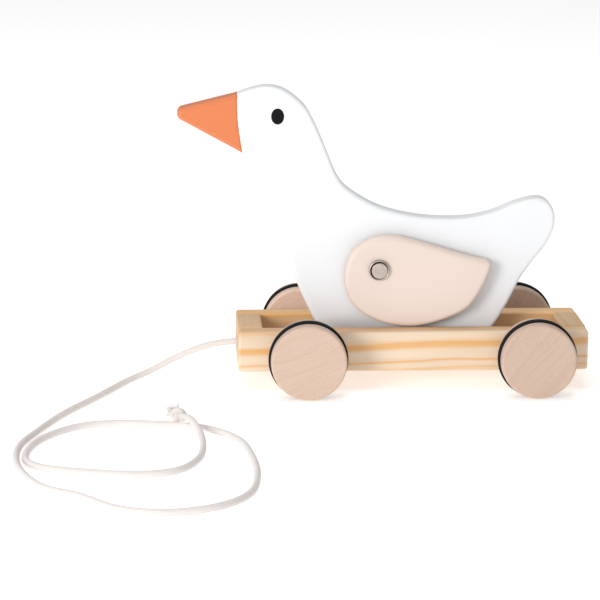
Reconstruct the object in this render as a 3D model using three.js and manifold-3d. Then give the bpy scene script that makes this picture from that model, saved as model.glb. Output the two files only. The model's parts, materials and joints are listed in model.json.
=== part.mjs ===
// Pull-along goose: a painted goose board that stands in a pine wheel frame, with two swinging wings,
// two wooden wheelsets and a pull cord. Millimetres, +Z up, the goose looks towards -X, and the origin
// is on the ground under the middle of the toy. "near" is the -Y side and "far" is the +Y side.
import * as THREE from "three";
import { mergeVertices } from "three/addons/utils/BufferGeometryUtils.js";
import Module from "manifold-3d";

// ---------------------------------------------------------------- driving dimensions
const GAP = 0.3; // between two pieces that touch or are glued

const FRAME = { front: -87.6, rear: 123.6, bottom: 11.3, top: 35.8, halfWidth: 29.75 };
const RAIL = { thickness: 12.5, edge: 1.5, corner: 2 };
const BLOCK = { length: 15, corner: 1.2 };
const FLOOR_THICKNESS = 6;
const SLOT_HALF = FRAME.halfWidth - RAIL.thickness;

const AXLE = { frontX: -46.8, rearX: 89.8, radius: 4, bore: 4.3 };
const WHEEL = { radius: 22.5, thickness: 20, middleY: 48.5, chamfer: 1.5, boreDepth: 14 };
const TYRE = { radius: 23.7, inner: 21.9, width: 4, groove: 21.6, grooveWidth: 4.6 };
const SPACER_RADIUS = 8;
const AXLE_Z = TYRE.radius;

const GOOSE = { thickness: 15, edge: 2.5, footBottom: FRAME.bottom + FLOOR_THICKNESS + GAP };
const WING = { thickness: 10, edge: 2.8, inner: 9, pivotX: -3, pivotZ: 71.4 };
const PIN = { radius: 3, bore: 3.3 };
const CAP = { radius: 6.2, height: 2, bevel: 0.6, pocket: 1 };
const WASHER = { radius: 7, thickness: 0.9 };
const SCREW = { head: 3.4, headHeight: 2.2, shank: 1.75, length: 25, recess: 0.2, x: [-12, 36] };

const CORD = { radius: 2, bore: 2.5, steps: 80, sides: 8 };
const STOP_KNOT = { radius: 4.6, halfLength: 5 };

// The cord lies where it was dropped: out of the front block, down to the ground, round one open loop
// and back over itself to its end knot.
const CORD_ROUTE = [
  [-71.7, 0, 23], [-90, 0, 22.9], [-106, 0, 20.4], [-123, -0.5, 14], [-140, -4, 6],
  [-154, -16, 2.9], [-172, -50, 2.3], [-190, -84.5, 2.3], [-203, -118, 2.3], [-212, -147, 2.3],
  [-213, -172, 2.3], [-208, -198, 2.3], [-195.5, -224, 2.3], [-177, -238.5, 2.3], [-156, -260.5, 2.3],
  [-132, -267, 2.3], [-105, -257.5, 2.3], [-89, -238, 2.3], [-83.3, -206, 2.3], [-85, -170, 2.3],
  [-91.5, -139.5, 2.3], [-108, -118, 2.3], [-132, -109, 2.3], [-164, -105.6, 2.3], [-182, -112, 2.3],
  [-200, -133.5, 2.3], [-207.5, -158, 2.3], [-206.8, -177, 2.3], [-198, -188.5, 2.3],
  [-172.6, -198, 2.3], [-146, -202.5, 2.3], [-126, -196, 2.3], [-114.5, -176, 2.3],
  [-111.2, -152, 2.6], [-113, -130, 5], [-118, -113, 6.8], [-122.3, -103.5, 5.4],
];

// ---------------------------------------------------------------- finishes
const finish = (color, roughness, metalness = 0) =>
  new THREE.MeshStandardMaterial({ color, roughness, metalness });
const pine = finish(0xf0cf9e, 0.6);
const beech = finish(0xe1c3ac, 0.6);
const whitePaint = finish(0xf8f9fb, 0.45);
const peachPaint = finish(0xf2ded3, 0.45);
const rubber = finish(0x232427, 0.7);
const steel = finish(0xc9c1b8, 0.35, 1);
const nylon = finish(0xf2f0ea, 0.5);
const cotton = finish(0xfaf8f4, 0.9);

// ---------------------------------------------------------------- solids
const wasm = await Module();
wasm.setup();

function solidOf(geometry) {
  const bare = geometry.clone();
  bare.deleteAttribute("normal");
  bare.deleteAttribute("uv");
  const merged = mergeVertices(bare, 1e-4);
  return new wasm.Manifold(
    new wasm.Mesh({
      numProp: 3,
      vertProperties: merged.attributes.position.array,
      triVerts: new Uint32Array(merged.index.array),
    }),
  );
}

// The geometry with each cutter's volume taken out of it.
function cut(geometry, cutters) {
  const solid = cutters.reduce((left, cutter) => left.subtract(solidOf(cutter)), solidOf(geometry));
  const mesh = solid.getMesh();
  return new THREE.BufferGeometry()
    .setAttribute("position", new THREE.BufferAttribute(mesh.vertProperties, 3))
    .setIndex(new THREE.BufferAttribute(mesh.triVerts, 1));
}

// A shape drawn in X and Z, as a board of a thickness in Y, centred on Y = 0, with rounded edges.
function board(shape, thickness, edge, curveSegments) {
  const geometry = new THREE.ExtrudeGeometry(shape, {
    depth: thickness - 2 * edge,
    bevelEnabled: edge > 0,
    bevelThickness: edge,
    bevelSize: edge,
    bevelOffset: -edge,
    bevelSegments: 2,
    curveSegments,
  });
  return geometry.translate(0, 0, edge - thickness / 2).rotateX(Math.PI / 2);
}

function roundedRectangle(left, right, bottom, top, corner) {
  const shape = new THREE.Shape();
  shape.moveTo(left + corner, bottom);
  shape.absarc(right - corner, bottom + corner, corner, -Math.PI / 2, 0, false);
  shape.absarc(right - corner, top - corner, corner, 0, Math.PI / 2, false);
  shape.absarc(left + corner, top - corner, corner, Math.PI / 2, Math.PI, false);
  shape.absarc(left + corner, bottom + corner, corner, Math.PI, 1.5 * Math.PI, false);
  return shape;
}

// A profile of [radius, y] points turned about Y.
function turned(profile, segments) {
  return new THREE.LatheGeometry(
    profile.map(([r, y]) => new THREE.Vector2(r, y)),
    segments,
  );
}

const rod = (radius, from, to, segments) =>
  turned([[0, from], [radius, from], [radius, to], [0, to]], segments);

const ring = (inner, outer, from, to, segments) =>
  turned([[inner, from], [outer, from], [outer, to], [inner, to], [inner, from]], segments);

const spline = (points) => points.map(([x, z]) => new THREE.Vector2(x, z));

const toy = new THREE.Group();

function piece(parent, name, geometry, material, position = [0, 0, 0]) {
  const mesh = new THREE.Mesh(geometry, material);
  mesh.name = name;
  mesh.position.set(...position);
  parent.add(mesh);
  return mesh;
}

// Pieces that come in pairs are made for the far side, and turned half round for the near side.
function pair(parent, name, geometry, material) {
  piece(parent, name + "_far", geometry, material);
  piece(parent, name + "_near", geometry, material).rotation.z = Math.PI;
}

// ---------------------------------------------------------------- foot screws
// Countersunk screws that stand in the floor board, point upwards, and hold the goose's foot.
function screw(grow) {
  const start = FRAME.bottom + SCREW.recess;
  const neck = start + SCREW.headHeight;
  const end = start + SCREW.length;
  const below = grow > 0 ? FRAME.bottom - 1 : start;
  return turned(
    [
      [0, below],
      [SCREW.head + grow, below],
      [SCREW.head + grow, start],
      [SCREW.shank + grow, neck],
      [SCREW.shank + grow, end - 3],
      [0, end + grow],
    ],
    16,
  ).rotateX(Math.PI / 2);
}
const screwHoles = SCREW.x.map((x) => screw(GAP).translate(x, 0, 0));

// ---------------------------------------------------------------- wheel frame
function rail() {
  const shape = roundedRectangle(FRAME.front, FRAME.rear, FRAME.bottom, FRAME.top, RAIL.corner);
  const bores = [AXLE.frontX, AXLE.rearX].map((x) =>
    rod(AXLE.bore, -RAIL.thickness, RAIL.thickness, 24).translate(x, 0, AXLE_Z),
  );
  return cut(board(shape, RAIL.thickness, RAIL.edge, 2), bores);
}
const railMiddle = FRAME.halfWidth - RAIL.thickness / 2;
piece(toy, "rail_near", rail(), pine, [0, -railMiddle, 0]);
piece(toy, "rail_far", rail(), pine, [0, railMiddle, 0]);

function endBlock(left) {
  const shape = roundedRectangle(left, left + BLOCK.length, FRAME.bottom, FRAME.top, BLOCK.corner);
  return board(shape, 2 * (SLOT_HALF - GAP), 0, 2);
}
const cordHole = rod(CORD.bore, -BLOCK.length, BLOCK.length, 16)
  .rotateZ(Math.PI / 2)
  .translate(FRAME.front + BLOCK.length / 2, 0, CORD_ROUTE[0][2]);
piece(toy, "front_block", cut(endBlock(FRAME.front), [cordHole]), pine);
piece(toy, "rear_block", endBlock(FRAME.rear - BLOCK.length), pine);

const floorFront = FRAME.front + BLOCK.length + GAP;
const floorRear = FRAME.rear - BLOCK.length - GAP;
const floorBoard = new THREE.BoxGeometry(
  floorRear - floorFront,
  2 * (SLOT_HALF - GAP),
  FLOOR_THICKNESS,
).translate((floorFront + floorRear) / 2, 0, FRAME.bottom + FLOOR_THICKNESS / 2);
piece(toy, "floor_board", cut(floorBoard, screwHoles), pine);
piece(toy, "foot_screw_front", screw(0), steel, [SCREW.x[0], 0, 0]);
piece(toy, "foot_screw_rear", screw(0), steel, [SCREW.x[1], 0, 0]);

// ---------------------------------------------------------------- wheelsets
function wheel() {
  const inner = WHEEL.middleY - WHEEL.thickness / 2;
  const outer = WHEEL.middleY + WHEEL.thickness / 2;
  const grooveFrom = WHEEL.middleY - TYRE.grooveWidth / 2;
  const grooveTo = WHEEL.middleY + TYRE.grooveWidth / 2;
  const face = WHEEL.radius - WHEEL.chamfer;
  return turned(
    [
      [0, inner + WHEEL.boreDepth],
      [AXLE.bore, inner + WHEEL.boreDepth],
      [AXLE.bore, inner],
      [face, inner],
      [WHEEL.radius, inner + WHEEL.chamfer],
      [WHEEL.radius, grooveFrom],
      [TYRE.groove, grooveFrom],
      [TYRE.groove, grooveTo],
      [WHEEL.radius, grooveTo],
      [WHEEL.radius, outer - WHEEL.chamfer],
      [face, outer],
      [0, outer],
    ],
    36,
  );
}

// A rubber band with a rounded tread.
function tyre() {
  const half = TYRE.width / 2;
  const shoulder = TYRE.radius - 0.8;
  return turned(
    [
      [TYRE.inner, WHEEL.middleY - half],
      [shoulder, WHEEL.middleY - half],
      [TYRE.radius, WHEEL.middleY - half / 2],
      [TYRE.radius, WHEEL.middleY + half / 2],
      [shoulder, WHEEL.middleY + half],
      [TYRE.inner, WHEEL.middleY + half],
      [TYRE.inner, WHEEL.middleY - half],
    ],
    40,
  );
}

function wheelset(name, x) {
  const set = new THREE.Group();
  set.position.set(x, 0, AXLE_Z);
  toy.add(set);
  const wheelInner = WHEEL.middleY - WHEEL.thickness / 2;
  const axleEnd = wheelInner + WHEEL.boreDepth - GAP;
  piece(set, name + "_axle", rod(AXLE.radius, -axleEnd, axleEnd, 20), beech);
  pair(set, "wheel_" + name, wheel(), beech);
  pair(set, "tyre_" + name, tyre(), rubber);
  const spacer = ring(AXLE.bore, SPACER_RADIUS, FRAME.halfWidth + GAP, wheelInner - GAP, 20);
  pair(set, "spacer_" + name, spacer, beech);
}
wheelset("front", AXLE.frontX);
wheelset("rear", AXLE.rearX);

// ---------------------------------------------------------------- goose
// The outline runs from under the beak round its tip, over the head and back to the tail, and
// down to the foot, which stands in the frame.
function gooseOutline() {
  const tip = { x: -119.83, z: 163.9, radius: 3.8, from: 241.3, to: 104 };
  const rad = THREE.MathUtils.degToRad;
  const shape = new THREE.Shape();
  shape.moveTo(-86.4, 141.3);
  shape.absarc(tip.x, tip.z, tip.radius, rad(tip.from), rad(tip.to), true);
  shape.lineTo(-88.7, 175.6);
  shape.splineThru(spline([
    [-80, 178.7], [-70.5, 180.5], [-60, 178.3], [-48.5, 169.6], [-41.5, 158.3], [-34.5, 142.3],
    [-28, 126.8], [-21.5, 118.6], [-9.5, 110.7], [2.2, 105.6], [18, 101.8], [34, 100.1],
    [51, 100.4], [66.5, 103.6], [80.4, 109.3], [92, 112.2], [99.5, 110.8], [104, 104],
    [104.2, 94.5], [99.6, 84], [91, 72.5], [83.9, 61.8], [77, 47.5], [70.1, 35.3], [62, 25],
    [54, GOOSE.footBottom],
  ]));
  shape.lineTo(-28, GOOSE.footBottom);
  shape.splineThru(spline([
    [-36, 29], [-41.5, 38.8], [-47, 50], [-51.8, 61.5], [-55.3, 73], [-56.8, 86], [-57.2, 100],
    [-57.2, 113], [-57.8, 119.8], [-61.8, 125.4], [-67, 128.9], [-75, 134.4], [-86.4, 141.3],
  ]));
  return shape;
}
const pinHole = rod(PIN.bore, -GOOSE.thickness, GOOSE.thickness, 16).translate(
  WING.pivotX,
  0,
  WING.pivotZ,
);
const gooseBoard = board(gooseOutline(), GOOSE.thickness, GOOSE.edge, 2);
piece(toy, "goose_body", cut(gooseBoard, [pinHole, ...screwHoles]), whitePaint);

// ---------------------------------------------------------------- wings
// Drawn from the rear tip over the top edge, round the shoulder and back along the lower edge.
function wingOutline() {
  const shape = new THREE.Shape();
  shape.moveTo(64.8, 71.6);
  shape.splineThru(spline([
    [64.8, 74.6], [62, 76.6], [57.5, 77.5], [47.4, 80], [30, 85.3], [20, 88.2], [11, 90.6],
    [3, 91.5], [-4, 90.9], [-10.5, 88.6], [-17.8, 83.3], [-22.2, 75.5], [-23.6, 67],
    [-22.6, 58.5], [-19, 50.6], [-13, 44.6], [-4, 39.8], [5, 37], [18.5, 35.9], [31.5, 38.2],
    [44, 42.9], [52, 47.8], [58.5, 56.8], [62.6, 65.5], [64.8, 71.6],
  ]));
  return shape;
}
const wingMiddle = WING.inner + WING.thickness / 2;
const wingBoard = board(wingOutline(), WING.thickness, WING.edge, 2);
const wing = cut(wingBoard, [
  rod(PIN.bore, -WING.thickness, WING.thickness, 16).translate(WING.pivotX, 0, WING.pivotZ),
]);
piece(toy, "wing_near", wing, peachPaint, [0, -wingMiddle, 0]);
piece(toy, "wing_far", wing, peachPaint, [0, wingMiddle, 0]);

const pivot = new THREE.Group();
pivot.position.set(WING.pivotX, 0, WING.pivotZ);
toy.add(pivot);
const capBase = WING.inner + WING.thickness + GAP;
const capTop = capBase + CAP.height;
const pinEnd = capBase + CAP.pocket - GAP;
piece(pivot, "wing_pin", rod(PIN.radius, -pinEnd, pinEnd, 16), steel);
const cap = turned(
  [
    [0, capBase + CAP.pocket],
    [PIN.bore, capBase + CAP.pocket],
    [PIN.bore, capBase],
    [CAP.radius, capBase],
    [CAP.radius, capTop - CAP.bevel],
    [CAP.radius - CAP.bevel, capTop],
    [0, capTop],
  ],
  24,
);
pair(pivot, "pin_cap", cap, steel);
const washerFrom = GOOSE.thickness / 2 + GAP;
const washer = ring(PIN.bore, WASHER.radius, washerFrom, washerFrom + WASHER.thickness, 20);
pair(pivot, "wing_washer", washer, nylon);

// ---------------------------------------------------------------- pull cord
const route = new THREE.CatmullRomCurve3(CORD_ROUTE.map((p) => new THREE.Vector3(...p)));
const section = new THREE.Shape();
section.absarc(0, 0, CORD.radius, 0, 2 * Math.PI, false);
const cord = new THREE.ExtrudeGeometry(section, {
  steps: CORD.steps,
  extrudePath: route,
  curveSegments: CORD.sides / 2,
});
piece(toy, "pull_cord", cord, cotton);

// A round knot inside the slot keeps the cord from pulling out of the front block.
const stopKnot = turned(
  Array.from({ length: 7 }, (_, i) => {
    const angle = (i / 6 - 0.5) * Math.PI;
    return [STOP_KNOT.radius * Math.cos(angle), STOP_KNOT.halfLength * Math.sin(angle)];
  }),
  12,
).rotateZ(-Math.PI / 2);
piece(toy, "cord_stop_knot", stopKnot, cotton, [
  CORD_ROUTE[0][0] + GAP + STOP_KNOT.halfLength,
  0,
  CORD_ROUTE[0][2],
]);

// The end knot and its short frayed tail carry on in the direction the cord ends in.
const endKnot = turned(
  [[0, 0], [2.2, 0], [4.3, 2.2], [4.9, 5], [4, 8.4], [2.2, 10.2], [2.6, 12], [3.6, 17], [0, 17]],
  12,
);
const last = new THREE.Vector3(...CORD_ROUTE.at(-1));
const heading = route.getTangent(1).setZ(0).normalize();
const knotMesh = piece(toy, "cord_end_knot", endKnot, cotton);
knotMesh.quaternion.setFromUnitVectors(new THREE.Vector3(0, 1, 0), heading);
knotMesh.position.copy(last).addScaledVector(heading, 2 * GAP);

export default toy;
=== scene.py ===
"""A pull-along goose: painted boards, pine wheel frame, beech wheels, rubber tyres and a braided cord.

Lengths in the code are millimetres and are turned to metres as a mesh is made. +Z is up, the goose looks
towards -X, and the side with -Y is called near. Each piece stands at the origin with its place in its mesh.
"""
import json
import math

import bmesh
import bpy
import numpy as np
from bpy.props import FloatProperty, FloatVectorProperty, IntProperty, PointerProperty
from mathutils import Matrix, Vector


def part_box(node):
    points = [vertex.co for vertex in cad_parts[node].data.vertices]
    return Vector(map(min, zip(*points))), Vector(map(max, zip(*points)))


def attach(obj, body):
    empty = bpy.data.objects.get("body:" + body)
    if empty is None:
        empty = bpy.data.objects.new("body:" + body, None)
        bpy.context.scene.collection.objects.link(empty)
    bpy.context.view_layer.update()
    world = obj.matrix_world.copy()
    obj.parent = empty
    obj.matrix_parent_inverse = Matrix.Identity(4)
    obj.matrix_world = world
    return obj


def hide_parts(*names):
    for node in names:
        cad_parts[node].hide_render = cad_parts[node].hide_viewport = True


bl_info = {
    "name": "Pull-along goose",
    "version": (1, 0, 0),
    "blender": (4, 5, 0),
    "location": "View3D > Sidebar > Goose",
    "description": "Builds the pieces of a wooden pull-along goose round its wheel frame",
    "category": "Add Mesh",
}

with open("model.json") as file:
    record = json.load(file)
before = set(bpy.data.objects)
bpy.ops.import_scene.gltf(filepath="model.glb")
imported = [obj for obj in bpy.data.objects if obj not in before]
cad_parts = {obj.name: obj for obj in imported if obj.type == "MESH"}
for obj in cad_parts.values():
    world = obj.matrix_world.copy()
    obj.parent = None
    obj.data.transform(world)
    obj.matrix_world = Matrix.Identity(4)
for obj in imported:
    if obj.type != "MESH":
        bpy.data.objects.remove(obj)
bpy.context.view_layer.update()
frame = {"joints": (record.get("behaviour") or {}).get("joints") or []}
MM = 0.001


def node_box(name):
    """Lowest and highest corner of a frame node, in millimetres."""
    low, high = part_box(name)
    return np.array(low) / MM, np.array(high) / MM


def joint_at(name):
    """Where a joint turns, in millimetres."""
    joint = next(j for j in frame["joints"] if j["name"] == name)
    return np.array(joint["pos_m"]) / MM


# ---------------------------------------------------------------- places that the frame gives
RAIL_LOW, RAIL_HIGH = node_box("rail_near")
FRONT, REAR, BOTTOM, TOP = RAIL_LOW[0], RAIL_HIGH[0], RAIL_LOW[2], RAIL_HIGH[2]
HALF_WIDTH, SLOT_HALF = -RAIL_LOW[1], -RAIL_HIGH[1]
FOOT_BOTTOM = node_box("goose_body")[0][2]
PIVOT_X, _, PIVOT_Z = joint_at("near_wing_swing")
AXLE_X = {end: joint_at(f"{end}_wheels_roll")[0] for end in ("front", "rear")}
AXLE_Z = joint_at("front_wheels_roll")[2]
SCREW_X = [sum(corner[0] for corner in node_box(f"foot_screw_{end}")) / 2 for end in ("front", "rear")]
SIDES = {"near": -1, "far": 1}

# Sizes of the turned and bored pieces, in millimetres.
WHEEL = {"radius": 22.5, "groove": 21.6, "groove_half": 2.3, "bore_depth": 14}
TYRE = {"outer": 23.7, "inner": 21.9, "shoulder": 0.9, "lip": 0.2}
AXLE = {"radius": 4.0, "chamfer": 0.6, "bore": 4.3}
PIN = {"radius": 3.0, "chamfer": 0.3, "bore": 3.3}
SCREW = {"head": 3.2, "neck": 1.75, "core": 1.25, "thread": 0.5, "pitch": 1.4,
         "clearance": 2.0, "sink": 3.6}
CORD_HOLE = 2.5
BRAID_PITCH = 3.0
KNOT = {"ring": 2.15, "swing": 1.1, "depth": 1.9, "end_cord": 1.75, "stop_cord": 1.7}
FIBRE = {"half": 0.17, "above_ground": 0.4}

# How far each pine board's corners and edges are rounded, and where the middle of its tree lay in Y and Z.
CORNER = {"rail": 2.0, "block": 1.2, "floor": 0.6}
ROUNDING = {"rail": 1.5, "block": 0.5, "floor": 0.4}
PITH = {"near_rail": (-120.0, -40.0), "far_rail": (-45.0, 120.0), "front_block": (-70.0, -60.0),
        "rear_block": (60.0, -50.0), "floor": (30.0, -80.0)}

# Each wheel's turn of grain in degrees, its tone and how strong its sanding marks are. The far wheels'
# tones are painted light: the rear far wheel is darker as painted shade, the front far wheel lighter.
WHEEL_GRAIN_AND_PAINTED_LIGHT = {("front", "near"): (22, 1.0, 0.25), ("rear", "near"): (50, 0.92, 0.7),
               ("front", "far"): (20, 1.16, 0.4), ("rear", "far"): (70, 0.82, 0.5)}

# The camera's angles in degrees, its distance and target, and each lamp's place, width and watts.
CAMERA = {"azimuth": -3.35, "elevation": 13.5, "roll": 0.458, "distance": 1505.5,
          "target": (-49.28, 0.0, 48.52), "sensor": 36, "lens": 148.27}
LAMPS = {"key": ((-1100, -1400, 470), 700, 18), "fill": ((-150, -1800, 650), 1400, 3),
         "top": ((-200, 300, 1700), 1300, 11)}
LAMP_TARGET = (0.0, 0.0, 60.0)
SKY_STRENGTH = 0.45
FLOOR_GLOW = 0.45
FLOOR_RINGS = (0, 400, 1500, 8000, 40000)

# The cord's route, in millimetres: out of the front block, down to the ground, round one open loop and
# back over itself to its end knot.
CORD_ROUTE = [
    (-71.7, 0, 23), (-90, 0, 22.9), (-106, 0, 20.4), (-123, -0.5, 14), (-140, -4, 6),
    (-154, -16, 2.9), (-172, -50, 2.3), (-190, -84.5, 2.3), (-203, -118, 2.3), (-212, -147, 2.3),
    (-213, -172, 2.3), (-208, -198, 2.3), (-195.5, -224, 2.3), (-177, -238.5, 2.3),
    (-156, -260.5, 2.3), (-132, -267, 2.3), (-105, -257.5, 2.3), (-89, -238, 2.3),
    (-83.3, -206, 2.3), (-85, -170, 2.3), (-91.5, -139.5, 2.3), (-108, -118, 2.3),
    (-132, -109, 2.3), (-164, -105.6, 2.3), (-182, -112, 2.3), (-200, -133.5, 2.3),
    (-207.5, -158, 2.3), (-206.8, -177, 2.3), (-198, -188.5, 2.3), (-172.6, -198, 2.3),
    (-146, -202.5, 2.3), (-126, -196, 2.3), (-114.5, -176, 2.3), (-111.2, -152, 2.6),
    (-113, -130, 5), (-118, -113, 6.8), (-122.3, -103.5, 5.4),
]

# Goose outline in X and Z: the beak's tip is an arc, the rest runs through points.
BEAK_TIP = {"x": -119.83, "z": 163.9, "radius": 3.8, "start": 241.3, "end": 104.0}
BEAK_UNDER = (-86.4, 141.3)
BEAK_OVER = (-88.7, 175.6)
GOOSE_BACK = [
    (-80, 178.7), (-70.5, 180.5), (-60, 178.3), (-48.5, 169.6), (-41.5, 158.3), (-34.5, 142.3),
    (-28, 126.8), (-21.5, 118.6), (-9.5, 110.7), (2.2, 105.6), (18, 101.8), (34, 100.1),
    (51, 100.4), (66.5, 103.6), (80.4, 109.3), (92, 112.2), (99.5, 110.8), (104, 104),
    (104.2, 94.5), (99.6, 84), (91, 72.5), (83.9, 61.8), (77, 47.5), (70.1, 35.3), (62, 25),
    (54, FOOT_BOTTOM),
]
GOOSE_BREAST = [
    (-36, 29), (-41.5, 38.8), (-47, 50), (-51.8, 61.5), (-55.3, 73), (-56.8, 86), (-57.2, 100),
    (-57.2, 113), (-57.8, 119.8), (-61.8, 125.4), (-67, 128.9), (-75, 134.4), BEAK_UNDER,
]
GOOSE_HEEL = (-28, FOOT_BOTTOM)
WING_TIP = (64.8, 71.6)
WING_EDGE = [
    (64.8, 74.6), (62, 76.6), (57.5, 77.5), (47.4, 80), (30, 85.3), (20, 88.2), (11, 90.6),
    (3, 91.5), (-4, 90.9), (-10.5, 88.6), (-17.8, 83.3), (-22.2, 75.5), (-23.6, 67),
    (-22.6, 58.5), (-19, 50.6), (-13, 44.6), (-4, 39.8), (5, 37), (18.5, 35.9), (31.5, 38.2),
    (44, 42.9), (52, 47.8), (58.5, 56.8), (62.6, 65.5), WING_TIP,
]
# The edge of the orange paint on the beak: x is a quadratic in the height above its middle.
BEAK_LINE = {"z": 157.8, "x": -87.4, "slope": -0.0958, "bend": 0.00361}
# The pin caps' faces sit a little off the middle of their rims, so the gap is wider on one side.
FACE_SHIFT = (0.34, 0.0, -0.38)
EYE = {"x": -63.9, "z": 162.7, "half_width": 3.9, "half_height": 4.85, "proud": 0.12}

# How dark the late-wood bands of the rails are, by height on the near rail's outer face.
NEAR_RAIL_BANDS = [
    (9.0, 0.25), (11.4, 0.4), (12.7, 0.7), (13.5, 0.15), (15.4, 0.05), (16.5, 0.45), (17.2, 1.0),
    (18.0, 0.2), (20.5, 0.03), (23.2, 0.1), (25.2, 0.85), (27.6, 0.95), (28.8, 0.4), (30.5, 0.12),
    (33.2, 0.08), (34.8, 0.15), (36.4, 0.5), (38.2, 0.55), (42.0, 0.5), (46.5, 0.85), (49.0, 0.45),
    (54.0, 0.8),
]


# ---------------------------------------------------------------- sizes and colours a user may change
class GooseSizes(bpy.types.PropertyGroup):
    """Sizes that a user may change"""

    body_edge: FloatProperty(
        name="Body edge", description="Rounding of the goose board's edges",
        default=2.5 * MM, min=0.5 * MM, max=4 * MM, subtype="DISTANCE", unit="LENGTH")
    wing_edge: FloatProperty(
        name="Wing edge", description="Rounding of the wings' edges",
        default=2.8 * MM, min=0.5 * MM, max=4 * MM, subtype="DISTANCE", unit="LENGTH")
    wheel_edge: FloatProperty(
        name="Wheel edge", description="Rounding of the wheels' rims",
        default=1.5 * MM, min=0.3 * MM, max=3 * MM, subtype="DISTANCE", unit="LENGTH")
    cord_diameter: FloatProperty(
        name="Cord diameter", description="Diameter of the braided pull cord",
        default=4 * MM, min=2 * MM, max=6 * MM, subtype="DISTANCE", unit="LENGTH")
    braid_strands: IntProperty(
        name="Braid strands", description="Strands that run each way round the cord",
        default=8, min=4, max=16)
    frayed_fibres: IntProperty(
        name="Frayed fibres", description="Loose fibres at the cord's cut end",
        default=150, min=0, max=400)


def colour(name, about, value):
    """A colour property with its default as linear red, green and blue."""
    return FloatVectorProperty(
        name=name, description=about, default=value, min=0, max=1, subtype="COLOR")


class GooseColours(bpy.types.PropertyGroup):
    """Colours of the paints, woods, metal and cord"""

    white: colour("White paint", "Paint of the goose board", (0.765, 0.778, 0.797))
    beak: colour("Beak paint", "Orange paint of the beak", (0.650, 0.186, 0.067))
    eye: colour("Eye paint", "Black paint of the eyes", (0.007, 0.007, 0.009))
    peach: colour("Peach paint", "Paint of the wings", (0.705, 0.585, 0.52))
    pine_early: colour("Pine, early wood", "Pale wood between the bands", (0.735, 0.598, 0.457))
    pine_late: colour("Pine, late wood", "Darker bands of the pine", (0.702, 0.385, 0.142))
    beech: colour("Beech", "Wood of the wheels and axles", (0.592, 0.440, 0.352))
    beech_fleck: colour("Beech flecks", "Small dark rays in the beech", (0.43, 0.29, 0.205))
    rubber: colour("Rubber", "Tyres", (0.010, 0.011, 0.0135))
    steel: colour("Steel", "Satin pin caps, pin and screws", (0.49, 0.425, 0.37))
    nylon: colour("Nylon", "Washers of the wings", (0.80, 0.79, 0.75))
    cotton: colour("Cotton", "Braided cord", (0.72, 0.67, 0.645))
    floor: colour("Floor", "Plain pale floor", (0.90, 0.90, 0.90))


# ---------------------------------------------------------------- curves
def through_points(points, per_span):
    """Uniform Catmull-Rom spline in the plane: each span is the cubic whose end slopes are half the chord
    between the neighbours, with the first and last point doubled. The last point is left out."""
    p = np.array(points, float)
    padded = np.vstack([p[:1], p, p[-1:]])
    p0, p1, p2, p3 = (padded[i:i + len(p) - 1, None] for i in range(4))
    t = (np.arange(per_span) / per_span)[None, :, None]
    v0, v1 = (p2 - p0) / 2, (p3 - p1) / 2
    cubic = ((2 * (p1 - p2) + v0 + v1) * t + 3 * (p2 - p1) - 2 * v0 - v1) * t * t + v0 * t + p1
    return cubic.reshape(-1, 2)


def even_loop(points, spacing):
    """A closed loop of points laid out again at even steps along its length."""
    closed = np.vstack([points, points[:1]])
    run = np.concatenate([[0], np.cumsum(np.linalg.norm(np.diff(closed, axis=0), axis=1))])
    at = np.linspace(0, run[-1], max(8, round(run[-1] / spacing)), endpoint=False)
    return np.stack([np.interp(at, run, closed[:, k]) for k in range(points.shape[1])], axis=1)


def centripetal(points, per_span):
    """Centripetal Catmull-Rom curve in space: knots are spaced by the square root of the chords, and the
    ends are carried on straight."""
    p = np.array(points, float)
    padded = np.vstack([2 * p[0] - p[1], p, 2 * p[-1] - p[-2]])
    p0, p1, p2, p3 = (padded[i:i + len(p) - 1, None] for i in range(4))
    d0, d1, d2 = (np.linalg.norm(b - a, axis=2, keepdims=True) ** 0.5
                  for a, b in ((p0, p1), (p1, p2), (p2, p3)))
    v1 = ((p1 - p0) / d0 - (p2 - p0) / (d0 + d1) + (p2 - p1) / d1) * d1
    v2 = ((p2 - p1) / d1 - (p3 - p1) / (d1 + d2) + (p3 - p2) / d2) * d1
    t = (np.arange(per_span) / per_span)[None, :, None]
    spans = p1 + v1 * t + (3 * (p2 - p1) - 2 * v1 - v2) * t ** 2 + (2 * (p1 - p2) + v1 + v2) * t ** 3
    return np.vstack([spans.reshape(-1, 3), p[-1]])


def evenly(points, count):
    """An open line of points laid out again at even steps, with the length run at each."""
    run = np.concatenate([[0], np.cumsum(np.linalg.norm(np.diff(points, axis=0), axis=1))])
    at = np.linspace(0, run[-1], count)
    return np.stack([np.interp(at, run, points[:, k]) for k in range(3)], axis=1), at


def unit(vectors):
    """Vectors divided by their lengths."""
    return vectors / np.linalg.norm(vectors, axis=-1, keepdims=True)


def goose_loop():
    """The goose board's outline as one loop: beak tip arc, back, tail, foot and breast."""
    angle = np.radians(np.linspace(BEAK_TIP["start"], BEAK_TIP["end"], 24))
    tip = np.stack([BEAK_TIP["x"] + BEAK_TIP["radius"] * np.cos(angle),
                    BEAK_TIP["z"] + BEAK_TIP["radius"] * np.sin(angle)], axis=1)
    back = through_points([BEAK_OVER, *GOOSE_BACK], 24)
    breast = through_points([GOOSE_HEEL, *GOOSE_BREAST], 24)
    return np.vstack([tip, back, [GOOSE_BACK[-1]], breast])


def wing_loop():
    """The wing's outline as one loop, from its rear tip over the top edge."""
    return through_points([WING_TIP, *WING_EDGE], 24)


def rounded_loop(left, right, bottom, top, corner):
    """A rectangle whose corners are quarter circles."""
    turn = np.radians(np.linspace(0, 90, 9))
    centres = [(right - corner, bottom + corner), (right - corner, top - corner),
               (left + corner, top - corner), (left + corner, bottom + corner)]
    starts = np.radians([-90, 0, 90, 180])
    return np.vstack([
        np.stack([x + corner * np.cos(s + turn), z + corner * np.sin(s + turn)], axis=1)
        for (x, z), s in zip(centres, starts)])


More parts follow.
